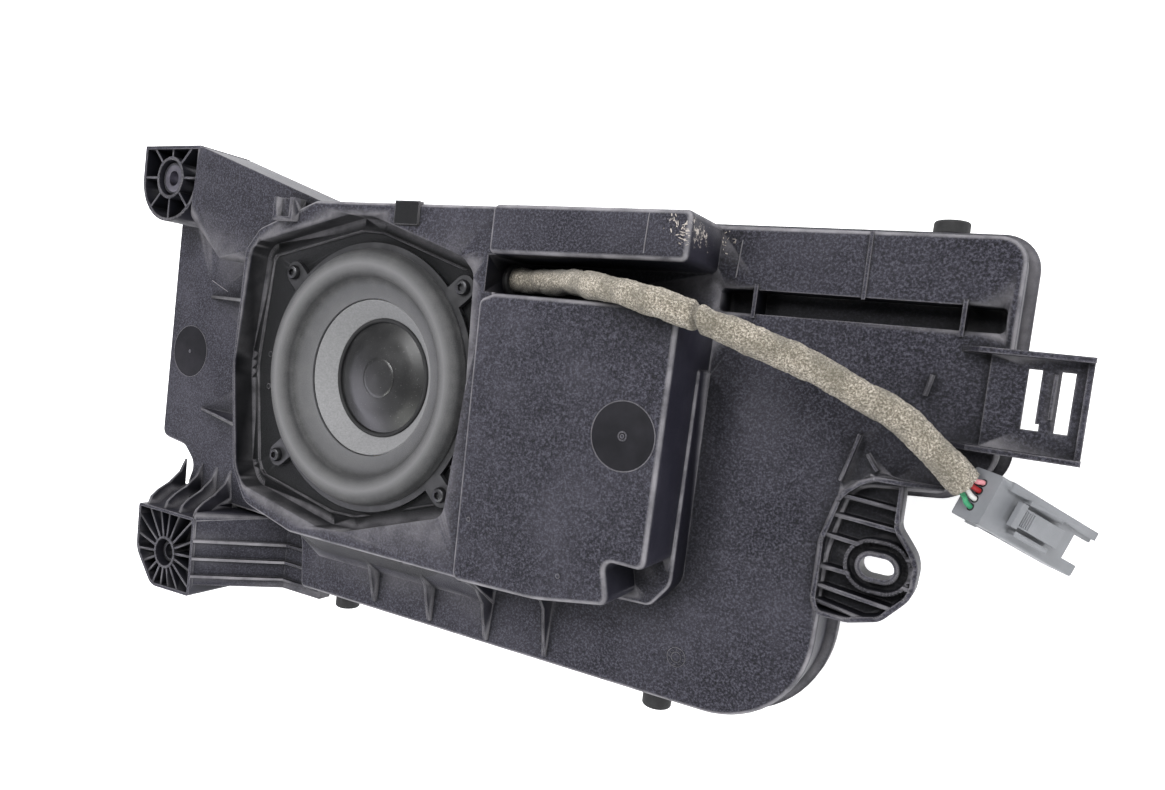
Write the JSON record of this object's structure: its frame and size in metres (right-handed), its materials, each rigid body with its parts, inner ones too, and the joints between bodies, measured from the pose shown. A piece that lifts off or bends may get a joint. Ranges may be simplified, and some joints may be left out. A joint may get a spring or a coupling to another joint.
{
  "type": "boxed car woofer",
  "caption": "Slim two-shell plastic speaker enclosure with a recessed woofer, moulded mounting bosses, clip tab, rubber buffers and a felt-wrapped harness ending in a latched plug.",
  "frame": {"origin": "middle of the enclosure's bounding box in plan, on the flat back face it rests on", "axes": "+X along the long side towards the clip tab and plug, +Y towards the side with the harness channel, +Z out of the woofer towards the listener"},
  "size_m": [0.5206, 0.264, 0.0899],
  "materials": {
    "shell_plastic": "fine-grained charcoal talc-filled plastic with a faint violet tint",
    "sealant": "soft black sealant cord",
    "black_screw": "black phosphated steel",
    "buffer_rubber": "matt black rubber",
    "sleeve_steel": "zinc-plated rolled steel",
    "basket_steel": "black coated pressed steel",
    "gasket_foam": "closed-cell foam",
    "woofer_screw": "black phosphated steel, socket pan head",
    "surround_foam": "mid-grey foam, lighter flat inner band",
    "cone_paper": "light grey mineral-filled cone",
    "cap_gloss": "gloss black dome",
    "former_foil": "aluminium foil tube",
    "coil_copper": "enamelled copper winding",
    "spider_cloth": "resin-dipped corrugated cloth",
    "plate_steel": "zinc-plated steel",
    "magnet_ferrite": "dark ferrite",
    "strip_board": "brown laminate",
    "tinsel_copper": "braided copper tinsel",
    "lead_red_black": "insulated lead",
    "wadding": "white polyester wadding",
    "grommet_rubber": "black rubber",
    "harness_felt": "khaki felt tape wrapped along the bundle",
    "wire_insulation": "thin insulated wires in separate colours",
    "plug_grey": "mid-grey moulded plastic",
    "plug_lock_grey": "lighter grey moulded plastic",
    "terminal_brass": "tinned brass"
  },
  "bodies": {
    "enclosure": {"front_shell": "shell_plastic", "rear_shell": "shell_plastic", "shell_seal": "sealant", "shell_screws": "black_screw", "rubber_buffers": "buffer_rubber", "upper_boss_sleeve": "sleeve_steel", "woofer_basket": "basket_steel", "basket_gasket": "gasket_foam", "woofer_screws": "woofer_screw", "surround": "surround_foam", "spider": "spider_cloth", "top_plate": "plate_steel", "ring_magnet": "magnet_ferrite", "pole_yoke": "plate_steel", "terminal_strip": "strip_board", "tinsel_leads": "tinsel_copper", "inner_leads": "lead_red_black", "damping_wadding": "wadding", "cable_grommet": "grommet_rubber", "harness_sleeve": "harness_felt", "harness_wires": "wire_insulation", "connector_housing": "plug_grey", "connector_terminals": "terminal_brass"},
    "moving_cone": {"cone": "cone_paper", "dust_cap": "cap_gloss", "voice_coil_former": "former_foil", "voice_coil": "coil_copper"},
    "latch": {"connector_latch": "plug_grey"},
    "lock": {"connector_lock": "plug_lock_grey"}
  },
  "joints": [
    {"name": "cone_travel", "type": "slide", "parent": "enclosure", "child": "moving_cone", "axis": [0, 0, 1], "range_m": [-0.005, 0.005], "stiffness_N_per_m": 2000, "deforming": ["surround", "spider", "tinsel_leads"]},
    {"name": "latch_press", "type": "hinge", "parent": "enclosure", "child": "latch", "pos_m": [0.25221, -0.0039, 0.03], "axis": [-0.3069, -0.9321, 0.1921], "range_deg": [0, 4.5], "stiffness_Nm_per_rad": 0.05, "springref_deg": -1.15},
    {"name": "lock_slide", "type": "slide", "parent": "enclosure", "child": "lock", "axis": [0.6046, -0.3469, -0.717], "range_m": [0, 0.0024]}
  ]
}
